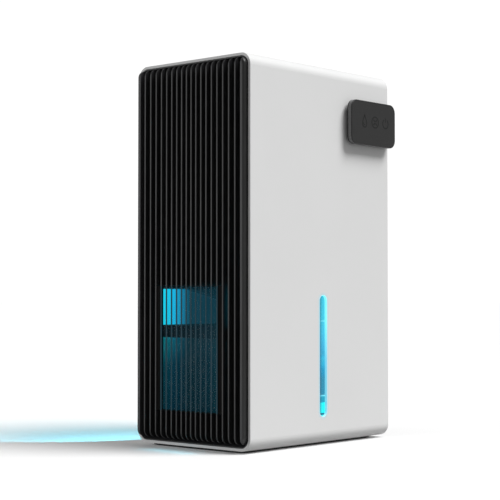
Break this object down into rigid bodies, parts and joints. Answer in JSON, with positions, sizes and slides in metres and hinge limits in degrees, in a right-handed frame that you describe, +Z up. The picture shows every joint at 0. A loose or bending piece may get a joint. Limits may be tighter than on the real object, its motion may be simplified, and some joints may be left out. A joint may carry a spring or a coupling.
{
  "type": "dehumidifier",
  "caption": "Compact upright thermoelectric dehumidifier with slatted front, lit level windows, side touch-control pod and a tank that draws out of the rear.",
  "frame": {"origin": "on the floor, under the middle of the outer sleeve's footprint", "axes": "+Z up, the front grille faces -Y, the control pod is on the +X side, the tank draws out towards +Y"},
  "size_m": [0.1481, 0.2071, 0.35],
  "materials": {
    "white_shell": "satin",
    "black_grille": "semi-gloss",
    "blackout": "dead matt",
    "smoked_lens": "clear tinted",
    "level_lens": "clear tinted",
    "rear_plastic": "fine texture",
    "base_plastic": "matt",
    "foot_rubber": "matt",
    "screw_steel": "zinc plated",
    "liner_plastic": "matt",
    "light_guide": "frosted, lit",
    "circuit_board": "solder resist",
    "led_lamp": "lit",
    "tank_clear": "clear tinted",
    "funnel_clear": "smoky clear",
    "lid_plastic": "matt",
    "silicone": "matt",
    "float_plastic": "matt",
    "magnet": "nickel plated",
    "sensor_plastic": "matt",
    "black_aluminium": "black anodised",
    "bare_aluminium": "as extruded",
    "foam": "closed-cell foam",
    "ceramic": "ceramic",
    "fan_plastic": "fine texture",
    "bearing_brass": "sintered",
    "motor_iron": "lacquered",
    "shaft_steel": "ground",
    "socket_plastic": "matt",
    "contact_metal": "plated",
    "pod_plastic": "satin",
    "touch_glass": "satin",
    "lead_jacket": "smooth"
  },
  "bodies": {
    "casing": {"base_plate": "base_plastic", "base_screws": "screw_steel", "board_screws": "screw_steel", "board_sockets": "socket_plastic", "capacitors": "bare_aluminium", "clamp_screws": "screw_steel", "cold_heat_sink": "black_aluminium", "core_bulkhead": "liner_plastic", "dc_jack": "socket_plastic", "dc_jack_pin": "contact_metal", "display_bezel": "blackout", "display_lens": "smoked_lens", "drip_funnel": "funnel_clear", "fan_bearing": "bearing_brass", "fan_frame": "fan_plastic", "fan_lead": "lead_jacket", "fan_plate": "liner_plastic", "fan_screws": "screw_steel", "fan_stator": "motor_iron", "front_grille": "black_grille", "hot_heat_sink": "bare_aluminium", "inductor": "motor_iron", "insulation_foam": "foam", "jack_lead": "lead_jacket", "led_chips": "led_lamp", "led_strip_left": "circuit_board", "led_strip_right": "circuit_board", "level_lens_left": "level_lens", "level_lens_right": "level_lens", "light_panel_left": "light_guide", "light_panel_right": "light_guide", "main_board": "circuit_board", "mid_deck": "liner_plastic", "mosfet_sinks": "black_aluminium", "outer_sleeve": "white_shell", "peltier_modules": "ceramic", "pod_base": "pod_plastic", "pod_housing": "pod_plastic", "pod_lead": "lead_jacket", "pod_nut": "pod_plastic", "rear_cover": "rear_plastic", "rear_cover_screws": "screw_steel", "rear_screw_posts": "liner_plastic", "rubber_pad": "foot_rubber", "tank_bay_liner": "liner_plastic", "tank_sensor": "sensor_plastic", "touch_board": "circuit_board", "touch_electrodes": "contact_metal", "touch_panel": "touch_glass"},
    "tank": {"water_tank": "tank_clear", "tank_grip": "rear_plastic"},
    "lid": {"tank_lid": "lid_plastic"},
    "plug": {"pour_plug": "silicone"},
    "float": {"float_arm": "float_plastic", "float_block": "float_plastic", "float_magnet": "magnet"},
    "fan": {"fan_rotor": "fan_plastic", "fan_shaft": "shaft_steel"}
  },
  "joints": [
    {"name": "tank_slide", "type": "slide", "parent": "casing", "child": "tank", "axis": [0, 1, 0], "range_m": [0, 0.2]},
    {"name": "lid_lift", "type": "slide", "parent": "tank", "child": "lid", "axis": [0, 0, 1], "range_m": [0, 0.02]},
    {"name": "plug_pull", "type": "slide", "parent": "lid", "child": "plug", "axis": [0, 0, 1], "range_m": [0, 0.012]},
    {"name": "float_swing", "type": "hinge", "parent": "lid", "child": "float", "pos_m": [0.042, 0.02, 0.101], "axis": [1, 0, 0], "range_deg": [0, 18]},
    {"name": "fan_spin", "type": "hinge", "parent": "casing", "child": "fan", "pos_m": [0, 0.02, 0.25], "axis": [0, 1, 0], "continuous": true}
  ]
}
